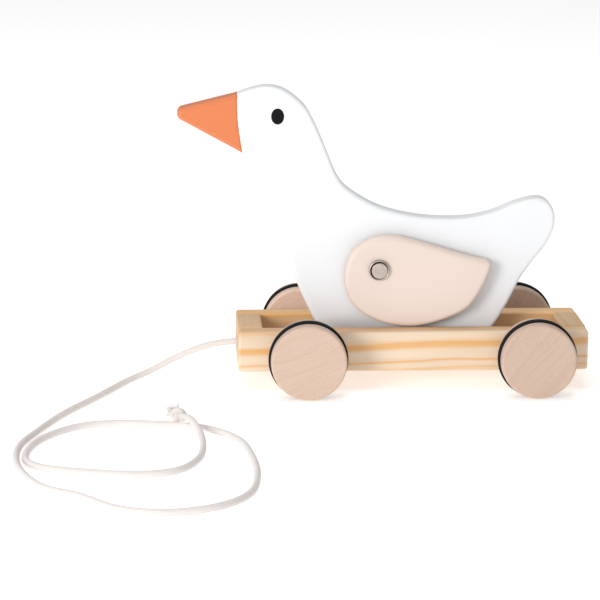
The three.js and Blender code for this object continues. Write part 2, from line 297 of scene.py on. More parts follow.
# ---------------------------------------------------------------- surfaces
def grid_faces(rows, cols, wrap_rows=False, wrap_cols=True, first=0):
    """Quads between the neighbours of a grid whose points are numbered row by row."""
    r = np.arange(rows if wrap_rows else rows - 1)[:, None]
    c = np.arange(cols if wrap_cols else cols - 1)[None, :]
    r2, c2 = (r + 1) % rows, (c + 1) % cols
    quads = np.stack([r * cols + c, r * cols + c2, r2 * cols + c2, r2 * cols + c], axis=-1)
    return (quads.reshape(-1, 4) + first).tolist()


def make_piece(name, points, faces, material, sharp=40):
    """A mesh object at the origin from points in millimetres: doubled points are merged, faces are turned
    outwards, and edges over the sharp angle keep their crease."""
    mesh = bpy.data.meshes.new(name)
    mesh.from_pydata((np.asarray(points) * MM).tolist(), [], faces)
    work = bmesh.new()
    work.from_mesh(mesh)
    bmesh.ops.remove_doubles(work, verts=work.verts, dist=2e-6)
    bmesh.ops.recalc_face_normals(work, faces=work.faces)
    work.to_mesh(mesh)
    work.free()
    mesh.shade_smooth()
    mesh.set_sharp_from_angle(angle=math.radians(sharp))
    if material:
        mesh.materials.append(material)
    piece = bpy.data.objects.new(name, mesh)
    bpy.context.scene.collection.objects.link(piece)
    return piece


def quarter_edge(radius, steps):
    """Inset and depth along a quarter circle, from the flat face out to the side."""
    turn = np.radians(np.linspace(0, 90, steps))
    return np.stack([radius * (1 - np.sin(turn)), radius * (1 - np.cos(turn))], axis=1)


def board_piece(name, loop, low, high, edge, material, steps=7, spacing=0.9, flat=0.35):
    """A board between two Y planes. Its outline is carried through a profile that leaves one face, turns
    through a quarter circle, runs down the side and turns into the other face: at each step the outline
    moves inwards along its mitred normals by the profile's inset. The inset is held under the radius of the
    largest circle that touches the outline there and fits inside it, which is the smallest, over the other
    points, of their squared distance over twice their depth along the normal."""
    loop = even_loop(loop, spacing)
    ahead, behind = np.roll(loop, -1, axis=0) - loop, loop - np.roll(loop, 1, axis=0)
    turn_left = np.sum(loop[:, 0] * np.roll(loop[:, 1], -1) - np.roll(loop[:, 0], -1) * loop[:, 1]) > 0
    sign = 1 if turn_left else -1
    inward = [sign * unit(np.stack([-d[:, 1], d[:, 0]], axis=1)) for d in (behind, ahead)]
    dot = np.sum(inward[0] * inward[1], axis=1)
    mitre = (inward[0] + inward[1]) / (1 + np.clip(dot, -0.5, 1))[:, None]
    between = loop[None] - loop[:, None]
    facing = np.einsum("ijk,ik->ij", between, unit(mitre))
    apart = np.sum(between ** 2, axis=2)
    clear = np.where(facing > 1e-6, apart / (2 * np.maximum(facing, 1e-6)), np.inf)
    step = np.abs(np.arange(len(loop))[None] - np.arange(len(loop))[:, None])
    clear[np.minimum(step, len(loop) - step) < 3] = np.inf
    share = np.minimum(1, 0.9 * clear.min(axis=1) / (edge + flat))[:, None]
    curve = quarter_edge(edge, steps)
    profile = np.vstack([[edge + flat, 0], curve])
    insets = np.concatenate([profile[:, 0], profile[::-1, 0]])
    depths = np.concatenate([low + profile[:, 1], high - profile[::-1, 1]])
    ring = loop[None] + mitre[None] * share[None] * insets[:, None, None]
    rows, cols = len(insets), len(loop)
    points = np.stack([ring[..., 0], np.broadcast_to(depths[:, None], (rows, cols)), ring[..., 1]], -1)
    caps = [list(range(cols)), list(range((rows - 1) * cols, rows * cols))]
    return make_piece(name, points.reshape(-1, 3), grid_faces(rows, cols) + caps, material)


def turned_points(profile, sides, centre):
    """A profile of (radius, y) turned about a line along Y: x and z are the radius times the cosine and
    sine of the angle."""
    profile = np.array(profile, float)
    angle = np.linspace(0, 2 * np.pi, sides, endpoint=False)
    radius, along = profile[:, :1], np.broadcast_to(profile[:, 1:], (len(profile), sides))
    return np.stack([centre[0] + radius * np.cos(angle), centre[1] + along,
                     centre[2] + radius * np.sin(angle)], axis=-1)


def turned_piece(name, profile, centre, material, sides=96, closed=False, sharp=40):
    """A turned solid. An open profile starts and ends on the axis; a closed one makes a ring."""
    points = turned_points(profile, sides, centre)
    faces = grid_faces(len(profile), sides, wrap_rows=closed)
    return make_piece(name, points.reshape(-1, 3), faces, material, sharp)


def arc(x, y, radius, start, end, steps=6):
    """Points of a circular arc, with its angles in degrees."""
    turn = np.radians(np.linspace(start, end, steps))
    return [(x + radius * math.cos(a), y + radius * math.sin(a)) for a in turn]


def ring_profile(low, high, bore, radius, chamfer, edge, steps):
    """Section of a ring: a chamfered bore and an outside with quarter-circle edges."""
    return ([(bore, low + chamfer), (bore + chamfer, low)]
            + arc(radius - edge, low + edge, edge, -90, 0, steps)
            + arc(radius - edge, high - edge, edge, 0, 90, steps)
            + [(bore + chamfer, high), (bore, high - chamfer)])


def bored(piece, cutters):
    """The piece with holes: each cutter is (axis, centre, radius, length), a round rod along X, Y or Z."""
    tools = []
    for index, (axis, centre, radius, length) in enumerate(cutters):
        rod = [(0, -length / 2), (radius, -length / 2), (radius, length / 2), (0, length / 2)]
        tool = turned_piece(f"{piece.name}_cutter{index}", rod, (0, 0, 0), None, sides=48)
        turn = {"X": Matrix.Rotation(math.pi / 2, 4, "Z"), "Y": Matrix.Identity(4),
                "Z": Matrix.Rotation(math.pi / 2, 4, "X")}[axis]
        tool.data.transform(Matrix.Translation([c * MM for c in centre]) @ turn)
        modifier = piece.modifiers.new(f"hole{index}", "BOOLEAN")
        modifier.operation, modifier.solver, modifier.object = "DIFFERENCE", "EXACT", tool
        tools.append(tool)
    bpy.context.view_layer.update()
    result = bpy.data.meshes.new_from_object(
        piece.evaluated_get(bpy.context.evaluated_depsgraph_get()))
    piece.modifiers.clear()
    piece.data = result
    result.name = piece.name
    result.shade_smooth()
    result.set_sharp_from_angle(angle=math.radians(30))
    for tool in tools:
        bpy.data.objects.remove(tool, do_unlink=True)
    return piece


def carried_tube(path, radii, side, up, sides):
    """Grid points of a tube: round each path point, radius times cosine along side plus sine along up."""
    angle = np.linspace(0, 2 * np.pi, sides, endpoint=False)[None, :, None]
    radii = np.broadcast_to(radii, (len(path), sides))[..., None]
    return path[:, None] + radii * (np.cos(angle) * side[:, None] + np.sin(angle) * up[:, None])


def level_frame(path):
    """Side and up directions along a path that is never upright: side is level and square to the path."""
    ahead = unit(np.gradient(path, axis=0))
    side = unit(np.cross(ahead, [0, 0, 1]))
    return side, unit(np.cross(side, ahead))


def braid_height(round_turns, along, strands):
    """How high the braid's surface stands, 0 to 1. Two families of strands wind opposite ways; in each
    cell where they cross, one has a round back and bulges over the other, and they take turns."""
    u, v = strands * round_turns + along, strands * round_turns - along
    over = np.where((np.floor(u) + np.floor(v)) % 2 == 0, 1.0, -1.0)
    fu, fv = np.mod(u, 1) - 0.5, np.mod(v, 1) - 0.5
    back_u, back_v = np.sqrt(1 - 3.4 * fu ** 2), np.sqrt(1 - 3.4 * fv ** 2)
    rise_u, rise_v = 0.5 + 0.5 * over * np.cos(np.pi * fv), 0.5 - 0.5 * over * np.cos(np.pi * fu)
    return np.maximum(back_u * (0.45 + 0.55 * rise_u), back_v * (0.45 + 0.55 * rise_v))


def braided_radius(run, sides, radius, strands, pitch, relief=0.3):
    """Radius of a braided tube on its grid of length run and angle."""
    turns = np.arange(sides)[None, :] / sides
    height = braid_height(turns, run[:, None] / pitch, strands)
    return radius - relief * (1 - height)


# ---------------------------------------------------------------- materials
class Finish:
    """A material of nodes round one Principled shader, with fixed values on the shader's own sockets."""

    def __init__(self, name, **fixed):
        self.material = bpy.data.materials.new(name)
        self.material.use_nodes = True
        self.tree = self.material.node_tree
        self.tree.nodes.clear()
        self.shader = self.tree.nodes.new("ShaderNodeBsdfPrincipled")
        output = self.tree.nodes.new("ShaderNodeOutputMaterial")
        self.tree.links.new(self.shader.outputs[0], output.inputs["Surface"])
        for key, value in fixed.items():
            self.put(self.shader.inputs[key.replace("_", " ")], value)

    def put(self, socket, value):
        """Links a node's output to a socket, or sets the socket to a number, a vector or a colour."""
        if isinstance(value, bpy.types.NodeSocket):
            self.tree.links.new(value, socket)
        elif hasattr(socket.default_value, "__len__"):
            wide = len(socket.default_value)
            value = list(value) if hasattr(value, "__len__") else [value] * wide
            socket.default_value = (value + [1.0])[:wide]
        else:
            socket.default_value = value

    def node(self, kind, inputs=None, out=0, **settings):
        """A shader node with its settings and inputs; gives its chosen output."""
        made = self.tree.nodes.new("ShaderNode" + kind)
        for key, value in settings.items():
            setattr(made, key, value)
        for key, value in (inputs or {}).items():
            self.put(made.inputs[key], value)
        return made.outputs[out]

    def math(self, operation, a, b=0.0, c=0.0, clamp=False):
        """One sum on numbers."""
        return self.node("Math", {0: a, 1: b, 2: c}, operation=operation, use_clamp=clamp)

    def vector(self, operation, a, b=(0, 0, 0), out=0):
        """One sum on vectors; output 1 is a length or a distance."""
        return self.node("VectorMath", {0: a, 1: b}, out=out, operation=operation)

    def place(self, centre=(0, 0, 0), turn=(0, 0, 0)):
        """Object coordinates in millimetres about a centre, turned by degrees about X, Y and Z."""
        coords = self.node("TexCoord", out=3)
        moved = self.vector("SUBTRACT", coords, [c * MM for c in centre])
        turned = self.node("Mapping", {0: moved, 2: [math.radians(a) for a in turn]})
        return self.vector("MULTIPLY", turned, (1 / MM,) * 3)

    def noise(self, place, lengths, detail=2.0, roughness=0.5, seed=0.0):
        """Noise with a grain of the given lengths in millimetres along X, Y and Z, from 0 to 1."""
        scaled = self.vector("MULTIPLY", place, [1 / size for size in lengths])
        shifted = self.vector("ADD", scaled, (seed, 2.3 * seed, 5.1 * seed))
        return self.node("TexNoise", {"Vector": shifted, "Scale": 1.0, "Detail": detail,
                                      "Roughness": roughness})

    def span(self, value, low, high, to_low=0.0, to_high=1.0, smooth=True):
        """The value carried from one span to another and held inside it."""
        return self.node(
            "MapRange", {0: value, 1: low, 2: high, 3: to_low, 4: to_high},
            interpolation_type="SMOOTHSTEP" if smooth else "LINEAR")

    def blend(self, factor, a, b, mode="MIX"):
        """Colour a turned into colour b by the factor, or multiplied by it."""
        return self.node("Mix", {0: factor, 6: a, 7: b}, out=2, data_type="RGBA", blend_type=mode)

    def ramp(self, value, stops):
        """A grey ramp through (place, value) stops."""
        made = self.tree.nodes.new("ShaderNodeValToRGB")
        elements = made.color_ramp.elements
        while len(elements) < len(stops):
            elements.new(0.5)
        for element, (place, grey) in zip(elements, stops):
            element.position = place
            element.color = (grey, grey, grey, 1)
        self.put(made.inputs[0], value)
        return made.outputs[0]

    def bump(self, height, depth, strength=1.0):
        """Relief of a depth in millimetres where the height runs from 0 to 1."""
        normal = self.node("Bump", {"Height": height, "Distance": depth * MM, "Strength": strength})
        self.put(self.shader.inputs["Normal"], normal)

    def colour(self, value):
        """Sets or links the shader's base colour."""
        self.put(self.shader.inputs["Base Color"], value)

    def rough(self, value):
        """Sets or links the shader's roughness."""
        self.put(self.shader.inputs["Roughness"], value)


def pine(name, pith, bands, drift=0.0, seed=0.0, tone=1.0, centre=(0, 0, 0), turn=(0, 0, 0)):
    """Pine whose grain runs along X. Year rings are cylinders round a pith line, bent by long slow noise;
    a ramp over their radius gives each ring's late wood, and fine noise drawn out along X its fibres."""
    tints = bpy.context.scene.goose_colours
    wood = Finish(name, Roughness=0.55, Specular_IOR_Level=0.35)
    place = wood.place(centre, turn)
    bend = wood.noise(place, (150, 45, 45), detail=2, seed=seed + 1)
    ripple = wood.noise(place, (38, 9, 9), detail=2, seed=seed + 2)
    split = wood.node("SeparateXYZ", {0: place}).node
    level = wood.math("MULTIPLY_ADD", split.outputs[0], -drift, split.outputs[2])
    across = wood.node("CombineXYZ", {0: 0.0, 1: split.outputs[1], 2: level})
    radius = wood.vector("DISTANCE", across, (0, pith[0], pith[1]), out=1)
    radius = wood.math("MULTIPLY_ADD", wood.math("SUBTRACT", bend, 0.5), 5.0, radius)
    radius = wood.math("MULTIPLY_ADD", wood.math("SUBTRACT", ripple, 0.5), 1.3, radius)
    low, high = bands[0][0], bands[-1][0]
    stops = [((r - low) / (high - low), dark) for r, dark in bands]
    late = wood.ramp(wood.span(radius, low, high, smooth=False), stops)
    fibre = wood.noise(place, (28, 0.5, 0.5), detail=3, seed=seed + 3)
    streak = wood.noise(place, (70, 2.2, 2.2), detail=2, seed=seed + 4)
    ducts = wood.span(wood.noise(place, (2.6, 0.22, 0.22), detail=1, seed=seed + 5), 0.71, 0.78)
    dark = wood.math("MULTIPLY_ADD", wood.math("SUBTRACT", streak, 0.5), 0.45, late)
    dark = wood.math("MULTIPLY_ADD", wood.math("SUBTRACT", fibre, 0.5), 0.35, dark, clamp=True)
    base = wood.blend(dark, [c * tone for c in tints.pine_early], [c * tone for c in tints.pine_late])
    duct_share = wood.math("MULTIPLY", ducts, wood.math("MULTIPLY_ADD", late, 0.35, 0.12))
    base = wood.blend(duct_share, base, [0.42 * tone, 0.20 * tone, 0.08 * tone])
    cloud = wood.noise(place, (60, 18, 18), detail=1, seed=seed + 6)
    shade = wood.span(cloud, 0.25, 0.75, 0.94, 1.04, smooth=False)
    grey = wood.node("CombineColor", {0: shade, 1: shade, 2: shade})
    wood.colour(wood.blend(1.0, base, grey, mode="MULTIPLY"))
    wood.rough(wood.span(fibre, 0.2, 0.8, 0.62, 0.5, smooth=False))
    relief = wood.math("MULTIPLY_ADD", late, 0.35, wood.math("MULTIPLY", fibre, 0.65))
    wood.bump(relief, 0.09, 0.7)
    return wood.material


def ring_bands(pith, corners, seed, least=0.08, count=21):
    """Bands for a board cut away from the pith: early wood at the least darkness, then a late-wood edge for
    each year, with years of 3 to 6 mm, over the radii that the board's corners span."""
    rng = np.random.default_rng(seed)
    reach = [math.dist(pith, corner) for corner in corners]
    bands, radius = [], min(reach) - 4
    while len(bands) < count - 2:
        year = rng.uniform(3.2, 6.0)
        dark = rng.uniform(0.55, 1.0)
        bands += [(radius, least), (radius + 0.55 * year, least + 0.12), (radius + 0.9 * year, dark)]
        radius += year
    return bands


def face_bands(pith, y, bands):
    """Bands given by their height on an upright face, as radii from the pith."""
    return [(math.dist(pith, (y, z)), dark) for z, dark in bands]


def beech(name, centre, turn, seed=0.0, tone=1.0, marks=0.5):
    """Beech with its grain along its own X: soft wavy bands of drawn-out noise, a scatter of short dark ray
    flecks along the grain, and fine sanding marks across it."""
    tints = bpy.context.scene.goose_colours
    wood = Finish(name, Roughness=0.6, Specular_IOR_Level=0.3)
    place = wood.place(centre, turn)
    wave = wood.noise(place, (40, 16, 16), detail=1, seed=seed + 1)
    split = wood.node("SeparateXYZ", {0: place}).node
    level = wood.math("MULTIPLY_ADD", wave, 12.0, split.outputs[2])
    bent = wood.node("CombineXYZ", {0: split.outputs[0], 1: split.outputs[1], 2: level})
    band = wood.span(wood.noise(bent, (70, 12, 1.9), detail=3, seed=seed + 6), 0.36, 0.68)
    flecks = wood.noise(place, (2.6, 0.5, 0.34), detail=1, seed=seed + 2)
    fleck = wood.span(flecks, 0.56, 0.74)
    fibre = wood.noise(place, (16, 0.7, 0.5), detail=3, seed=seed + 3)
    sawn = wood.place(centre, (turn[0], turn[1] + 62, turn[2]))
    mark = wood.span(wood.noise(sawn, (34, 6, 0.42), detail=2, seed=seed + 4), 0.58, 0.74)
    patch = wood.span(wood.noise(place, (14, 14, 14), detail=1, seed=seed + 5), 0.42, 0.68)
    base = [c * tone for c in tints.beech]
    dark = [c * tone for c in tints.beech_fleck]
    share = wood.math("MULTIPLY_ADD", fleck, 0.3, wood.math("MULTIPLY", band, 0.2))
    share = wood.math("MULTIPLY_ADD", wood.math("SUBTRACT", fibre, 0.5), 0.5, share)
    share = wood.math("MULTIPLY_ADD", wood.math("MULTIPLY", mark, patch), marks, share, clamp=True)
    wood.colour(wood.blend(share, base, dark))
    wood.rough(wood.span(fibre, 0.2, 0.8, 0.66, 0.54, smooth=False))
    relief = wood.math("SUBTRACT", wood.math("MULTIPLY", fibre, 0.7), wood.math("MULTIPLY", mark, 0.4))
    wood.bump(relief, 0.06, 0.7)
    return wood.material


def painted(name, tint, beak=None, seed=0.0):
    """Satin paint on wood: a fine roller texture, with the grain just telling through, and on the goose a
    second paint that starts at a slightly uneven line across the beak, where it lies thicker."""
    paint = Finish(name, Roughness=0.42, Specular_IOR_Level=0.4)
    place = paint.place()
    roller = paint.noise(place, (1.1, 1.1, 1.1), detail=2, seed=seed + 1)
    grain = paint.noise(place, (60, 1.6, 1.6), detail=3, seed=seed + 2)
    cloud = paint.noise(place, (42, 42, 42), detail=2, seed=seed + 3)
    shade = paint.span(cloud, 0.25, 0.75, 0.985, 1.01, smooth=False)
    grey = paint.node("CombineColor", {0: shade, 1: shade, 2: shade})
    base = paint.blend(1.0, list(tint), grey, mode="MULTIPLY")
    height = paint.math("MULTIPLY_ADD", roller, 0.5, paint.math("MULTIPLY", grain, 0.5))
    if beak is not None:
        split = paint.node("SeparateXYZ", {0: place}).node
        rise = paint.math("SUBTRACT", split.outputs[2], BEAK_LINE["z"])
        bent = paint.math("MULTIPLY_ADD", rise, BEAK_LINE["bend"], BEAK_LINE["slope"])
        line = paint.math("MULTIPLY_ADD", rise, bent, BEAK_LINE["x"])
        waver = paint.noise(place, (2.5, 2.5, 2.5), detail=2, seed=seed + 4)
        line = paint.math("MULTIPLY_ADD", paint.math("SUBTRACT", waver, 0.5), 0.5, line)
        past = paint.math("SUBTRACT", line, split.outputs[0])
        on_head = paint.span(split.outputs[2], 126, 130)
        covered = paint.math("MULTIPLY", paint.span(past, -0.12, 0.12), on_head)
        thick = [c * share for c, share in zip(beak, (0.92, 0.74, 0.55))]
        coat = paint.blend(paint.span(past, 0.5, 1.5), thick, list(beak))
        tinted = paint.blend(1.0, coat, grey, mode="MULTIPLY")
        base = paint.blend(covered, base, tinted)
        height = paint.math("MULTIPLY_ADD", covered, 0.8, height)
    paint.colour(base)
    paint.rough(paint.span(roller, 0.2, 0.8, 0.38, 0.5, smooth=False))
    paint.bump(height, 0.045, 0.6)
    return paint.material


def rubber_finish():
    """Matt black rubber with a fine moulded grain and a little dust."""
    tints = bpy.context.scene.goose_colours
    rubber = Finish("rubber", Specular_IOR_Level=0.1)
    place = rubber.place()
    grain = rubber.noise(place, (0.5, 0.5, 0.5), detail=3, seed=4)
    dust = rubber.span(rubber.noise(place, (5, 5, 5), detail=3, seed=9), 0.5, 0.8, 0.0, 0.05)
    rubber.colour(rubber.blend(dust, list(tints.rubber), (0.16, 0.155, 0.15)))
    rubber.rough(rubber.span(grain, 0.3, 0.7, 0.6, 0.78, smooth=False))
    rubber.bump(grain, 0.03, 0.8)
    return rubber.material


def steel_finish(name, centre, roughness=0.3, rings=0.3, groove=None):
    """Satin steel with fine turning rings round the pin's line and small scratches. A groove, given by how
    far from the middle plane its bottom and its lip lie, is painted near black as shade in the recess."""
    tints = bpy.context.scene.goose_colours
    steel = Finish(name, Metallic=1.0)
    place = steel.place(centre)
    split = steel.node("SeparateXYZ", {0: place}).node
    flat = steel.node("CombineXYZ", {0: split.outputs[0], 1: 0.0, 2: split.outputs[2]})
    radius = steel.vector("LENGTH", flat, out=1)
    ring = steel.math("SINE", steel.math("MULTIPLY", radius, 2 * math.pi / rings))
    scratch = steel.noise(place, (4, 0.3, 0.18), detail=3, seed=6)
    cloud = steel.noise(place, (3, 3, 3), detail=2, seed=2)
    shade = steel.span(cloud, 0.3, 0.7, 0.9, 1.06, smooth=False)
    grey = steel.node("CombineColor", {0: shade, 1: shade, 2: shade})
    base = steel.blend(1.0, list(tints.steel), grey, mode="MULTIPLY")
    if groove:
        # painted shade: the colour goes near black between the groove's bottom and its lip
        outside_painted_shade = steel.span(steel.math("ABSOLUTE", split.outputs[1]), *groove)
        base = steel.blend(outside_painted_shade, (0.02, 0.018, 0.017), base)
    steel.colour(base)
    steel.rough(steel.span(scratch, 0.3, 0.7, roughness - 0.06, roughness + 0.1, smooth=False))
    steel.bump(steel.math("MULTIPLY_ADD", ring, 0.3, scratch), 0.01, 0.5)
    return steel.material


def nylon_finish():
    """Smooth moulded nylon with a faint mottle."""
    tints = bpy.context.scene.goose_colours
    nylon = Finish("nylon", Specular_IOR_Level=0.5)
    place = nylon.place()
    mottle = nylon.noise(place, (1.5, 1.5, 1.5), detail=2, seed=3)
    nylon.colour(nylon.blend(nylon.span(mottle, 0.3, 0.8, 0, 0.3), list(tints.nylon), (0.72, 0.7, 0.64)))
    nylon.rough(nylon.span(mottle, 0.3, 0.7, 0.32, 0.44, smooth=False))
    nylon.bump(mottle, 0.02, 0.4)
    return nylon.material


def cotton_finish():
    """Cotton yarn: soft, matt, with fine lint shading and yarn relief."""
    tints = bpy.context.scene.goose_colours
    cotton = Finish("cotton", Specular_IOR_Level=0.15, Sheen_Weight=0.25, Sheen_Roughness=0.6)
    place = cotton.place()
    lint = cotton.noise(place, (0.5, 0.5, 0.5), detail=3, seed=1)
    patch = cotton.noise(place, (14, 14, 14), detail=2, seed=7)
    worn = cotton.blend(cotton.span(patch, 0.35, 0.75, 0, 0.35), list(tints.cotton), (0.66, 0.60, 0.565))
    cotton.colour(cotton.blend(cotton.span(lint, 0.35, 0.7, 0.0, 0.2), worn, (0.56, 0.51, 0.48)))
    cotton.rough(cotton.span(lint, 0.2, 0.8, 0.82, 0.95, smooth=False))
    cotton.bump(lint, 0.12, 0.7)
    return cotton.material


def eye_finish():
    """Black satin paint with a fine roller texture."""
    tints = bpy.context.scene.goose_colours
    paint = Finish("eye_paint", Specular_IOR_Level=0.05)
    place = paint.place()
    roller = paint.noise(place, (0.9, 0.9, 0.9), detail=2, seed=5)
    paint.colour(paint.blend(paint.span(roller, 0.3, 0.7), list(tints.eye), (0.010, 0.010, 0.012)))
    paint.rough(paint.span(roller, 0.2, 0.8, 0.36, 0.5, smooth=False))
    paint.bump(roller, 0.03, 0.5)
    return paint.material


def floor_finish():
    """The plain pale floor of a lit studio sweep."""
    tints = bpy.context.scene.goose_colours
    floor = Finish("floor", Roughness=0.9, Specular_IOR_Level=0.1, Emission_Color=(1, 1, 1),
                   Emission_Strength=FLOOR_GLOW)
    floor.colour(list(tints.floor))
    return floor.material


# ---------------------------------------------------------------- operators
class GOOSE_OT_stage(bpy.types.Operator):
    """Sets up the camera, the floor and the soft studio light"""

    bl_idname = "goose.stage"
    bl_label = "Stage"

    def execute(self, context):
        scene = context.scene
        azimuth, elevation, roll = (math.radians(CAMERA[key]) for key in ("azimuth", "elevation", "roll"))
        target = np.array(CAMERA["target"])
        back = np.array([math.sin(azimuth) * math.cos(elevation),
                         -math.cos(azimuth) * math.cos(elevation), math.sin(elevation)])
        level = np.array([math.cos(azimuth), math.sin(azimuth), 0.0])
        upright = np.cross(back, level)
        right = level * math.cos(roll) + upright * math.sin(roll)
        up = upright * math.cos(roll) - level * math.sin(roll)
        camera = bpy.data.objects.new("camera", bpy.data.cameras.new("camera"))
        camera.data.sensor_width, camera.data.lens = CAMERA["sensor"], CAMERA["lens"]
        camera.data.clip_start, camera.data.clip_end = 0.05, 100
        place = (target + back * CAMERA["distance"]) * MM
        pose = Matrix(np.vstack([np.column_stack([right, up, back, place]), [0, 0, 0, 1]]).tolist())
        scene.collection.objects.link(camera)
        camera.matrix_world = pose
        scene.camera = camera

        angle = np.linspace(0, 2 * np.pi, 96, endpoint=False)
        rings = np.array(FLOOR_RINGS)[:, None]
        points = np.stack([rings * np.cos(angle), rings * np.sin(angle),
                           np.zeros((len(rings), len(angle)))], axis=-1)
        floor = make_piece("floor", points.reshape(-1, 3), grid_faces(len(rings), len(angle)),
                           floor_finish())
        if floor.data.polygons[0].normal.z < 0:
            floor.data.flip_normals()

        world = bpy.data.worlds.new("studio")
        world.use_nodes = True
        sky = world.node_tree.nodes["Background"].inputs
        sky["Color"].default_value = (1, 1, 1, 1)
        sky["Strength"].default_value = SKY_STRENGTH
        scene.world = world
        scene.view_settings.view_transform = "Standard"
        for name, (place, size, watts) in LAMPS.items():
            lamp = bpy.data.lights.new(name, "AREA")
            lamp.shape, lamp.size, lamp.energy = "DISK", size * MM, watts
            light = bpy.data.objects.new(name, lamp)
            where = np.array(place, float)
            look = unit(where - np.array(LAMP_TARGET))
            across = unit(np.cross([0.0, 0.0, 1.0], look))
            columns = np.column_stack([across, np.cross(look, across), look, where * MM])
            light.matrix_world = Matrix(np.vstack([columns, [0, 0, 0, 1]]).tolist())
            scene.collection.objects.link(light)
        return {"FINISHED"}


def end_frame(path):
    """Place, level heading, side and up at the cord's free end."""
    heading = path[-1] - path[-2]
    heading[2] = 0
    heading = unit(heading)
    side = np.cross(heading, [0.0, 0.0, 1.0])
    return path[-1], heading, side, np.array([0.0, 0.0, 1.0])


def knot_points(centre, heading, side, up, radius, strands, rows=150, sides=24):
    """A tight knot as a braided tube along a trefoil: the path winds twice round the knot's middle while it
    goes three times round its own core."""
    t = np.linspace(0, 2 * np.pi, rows, endpoint=False)
    out = KNOT["ring"] + KNOT["swing"] * np.cos(3 * t)
    path = (centre + np.outer(out * np.cos(2 * t), side) + np.outer(out * np.sin(2 * t), up)
            + np.outer(KNOT["depth"] * np.sin(3 * t), heading))
    ahead = unit(np.roll(path, -1, axis=0) - np.roll(path, 1, axis=0))
    outward = unit(path - centre)
    sideways = unit(np.cross(ahead, outward))
    run = np.cumsum(np.linalg.norm(path - np.roll(path, 1, axis=0), axis=1))
    pitch = run[-1] / round(run[-1] / BRAID_PITCH)
    radii = braided_radius(run, sides, radius, strands, pitch, 0.25)
    return carried_tube(path, radii, sideways, np.cross(sideways, ahead), sides)


def fibre_points(start, heading, side, up, count, seed, length=(5.5, 9.5)):
    """Frayed fibres: each leaves a point of the cord's cut end, fans outwards and droops as a quadratic of
    the way along it, and thins to its tip. All are one array of fibre, row and corner."""
    rng = np.random.default_rng(seed)
    spot = rng.uniform(0, 1, count) ** 0.5 * 1.5
    turn = rng.uniform(0, 2 * np.pi, count)
    reach = rng.uniform(*length, count)
    fan = rng.normal(0.32, 0.22, count) * spot / 1.1
    sway = rng.normal(0, 0.22, (count, 2))
    t = np.linspace(0, 1, 9)[None, :]
    out = spot[:, None] + (fan * reach)[:, None] * t
    a = (out * np.cos(turn)[:, None] + (sway[:, 0] * reach)[:, None] * t ** 2)[..., None]
    b = (out * np.sin(turn)[:, None] + (sway[:, 1] * reach)[:, None] * t ** 2)[..., None]
    line = start + reach[:, None, None] * t[..., None] * heading + a * side + b * up
    line[..., 2] = np.maximum(line[..., 2], FIBRE["above_ground"])
    thick = (FIBRE["half"] * (1 - 0.55 * t))[..., None, None] * np.ones((count, 1, 1, 1))
    corner = np.linspace(0, 2 * np.pi, 4, endpoint=False)[:, None]
    ring = np.cos(corner) * side + np.sin(corner) * up
    return line[:, :, None] + thick * ring[None, None]


def stub_points(start, end, radius, strands, run_from=0.0, rows=24, sides=24):
    """A short straight length of braided cord."""
    t = np.linspace(0, 1, rows)[:, None]
    path = start + (end - start) * t
    side, up = level_frame(path)
    run = run_from + t[:, 0] * np.linalg.norm(end - start)
    radii = braided_radius(run, sides, radius, strands, BRAID_PITCH, 0.25)
    return carried_tube(path, radii, side, up, sides)


def grid_solid(grid, wrap_rows=False, first=0):
    """Points and faces of a tube's grid, with flat ends where its rows don't wrap."""
    rows, cols = grid.shape[:2]
    faces = grid_faces(rows, cols, wrap_rows=wrap_rows, first=first)
    if not wrap_rows:
        faces += [[first + i for i in range(cols)], [first + (rows - 1) * cols + i for i in range(cols)]]
    return grid.reshape(-1, 3), faces


def joined(name, solids, material, sharp=60):
    """One piece from several closed solids, each given as its grid and whether its rows wrap."""
    points, faces, first = [], [], 0
    for grid, wrap in solids:
        more_points, more_faces = grid_solid(grid, wrap, first)
        points.append(more_points)
        faces += more_faces
        first += len(more_points)
    return make_piece(name, np.vstack(points), faces, material, sharp)


